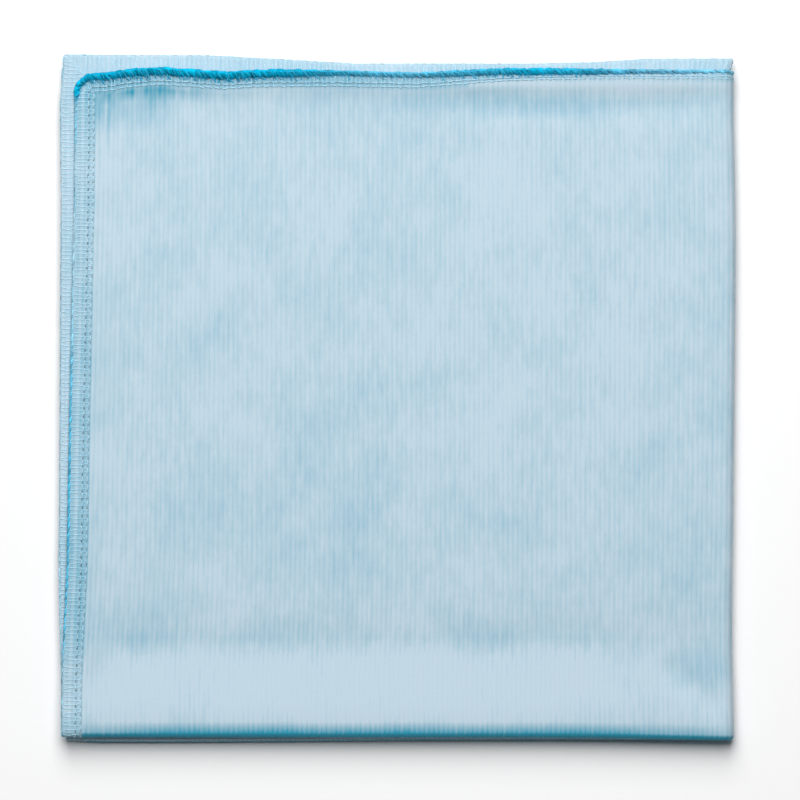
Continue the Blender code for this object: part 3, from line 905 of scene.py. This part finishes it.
# The softbox hangs over the back, a little to the left; the camera's sensor, in mm, and clipping.
KEY_WIDTH, KEY_DEPTH = 1.2, 2.0
KEY_DISTANCE = 1.5
KEY_TOWARDS = (-0.08, 0.62, 1.0)
SENSOR_MM = 36.0
CLIP_NEAR, CLIP_FAR = 0.1, 20.0

# How far right and back of the cloth's middle the camera aims.
AIM_RIGHT, AIM_BACK = 0.65 * MM, -0.8 * MM


class CLOTH_OT_studio(bpy.types.Operator):
    """Lay the floor and set the soft lights and the camera"""
    bl_idname = "cloth.studio"
    bl_label = "Studio"

    def execute(self, context):
        settings, colours = context.scene.cloth_studio, context.scene.cloth_colours
        low, high = CAD_BOX
        middle = (low + high) / 2

        mesh = bpy.data.meshes.new("floor")
        bm = bmesh.new()
        bmesh.ops.create_grid(bm, x_segments=1, y_segments=1, size=FLOOR_HALF)
        bm.to_mesh(mesh)
        bm.free()
        floor = bpy.data.objects.new("floor", mesh)
        context.scene.collection.objects.link(floor)
        mesh.transform(Matrix.Translation((0, 0, low.z - FLOOR_DROP)))
        mesh.materials.append(floor_material(colours))

        world = bpy.data.worlds.new("studio")
        world.use_nodes = True
        world.node_tree.nodes["Background"].inputs["Color"].default_value = (1, 1, 1, 1)
        world.node_tree.nodes["Background"].inputs["Strength"].default_value = settings.sky_strength
        context.scene.world = world

        key = bpy.data.lights.new("softbox", "AREA")
        key.shape = "RECTANGLE"
        key.size, key.size_y = KEY_WIDTH, KEY_DEPTH
        key.energy = settings.key_power
        holder = bpy.data.objects.new("softbox", key)
        context.scene.collection.objects.link(holder)
        towards = Vector(KEY_TOWARDS).normalized()
        holder.location = middle + towards * KEY_DISTANCE
        holder.rotation_euler = towards.to_track_quat("Z", "Y").to_euler()

        camera = bpy.data.cameras.new("camera")
        camera.lens = settings.lens
        camera.sensor_width = SENSOR_MM
        distance = settings.view_width * settings.lens / camera.sensor_width
        back = Vector((0, -math.cos(settings.elevation), math.sin(settings.elevation)))
        aim = Vector((middle.x + AIM_RIGHT, middle.y + AIM_BACK, high.z / 2))
        holder = bpy.data.objects.new("camera", camera)
        context.scene.collection.objects.link(holder)
        holder.location = aim + back * distance
        holder.rotation_euler = back.to_track_quat("Z", "Y").to_euler()
        camera.clip_start, camera.clip_end = CLIP_NEAR, CLIP_FAR
        context.scene.camera = holder
        context.scene.view_settings.view_transform = "Standard"
        return {"FINISHED"}


class CLOTH_PT_sidebar(bpy.types.Panel):
    """Lists the steps that make the cloth"""
    bl_idname = "CLOTH_PT_sidebar"
    bl_label = "Folded cloth"
    bl_space_type = "VIEW_3D"
    bl_region_type = "UI"
    bl_category = "Cloth"

    def draw(self, context):
        for group in ("cloth_sizes", "cloth_colours", "cloth_studio"):
            settings = getattr(context.scene, group)
            for name in settings.bl_rna.properties.keys():
                if name not in {"rna_type", "name"}:
                    self.layout.prop(settings, name)
        for step in STEPS:
            self.layout.operator(step.bl_idname)


GROUPS = {"cloth_sizes": ClothSizes, "cloth_colours": ClothColours, "cloth_studio": StudioSettings}
STEPS = (CLOTH_OT_overlock_seam, CLOTH_OT_overlock_purl, CLOTH_OT_knit_panel, CLOTH_OT_studio)


def register():
    for group in (*GROUPS.values(), *STEPS, CLOTH_PT_sidebar):
        bpy.utils.register_class(group)
    for name, group in GROUPS.items():
        setattr(bpy.types.Scene, name, bpy.props.PointerProperty(type=group))


def unregister():
    for name in GROUPS:
        delattr(bpy.types.Scene, name)
    for group in (CLOTH_PT_sidebar, *reversed(STEPS), *GROUPS.values()):
        bpy.utils.unregister_class(group)


def main():
    register()
    bpy.ops.cloth.overlock_seam()
    bpy.ops.cloth.overlock_purl()
    bpy.ops.cloth.knit_panel()
    bpy.ops.cloth.studio()


if __name__ == "__main__":
    main()
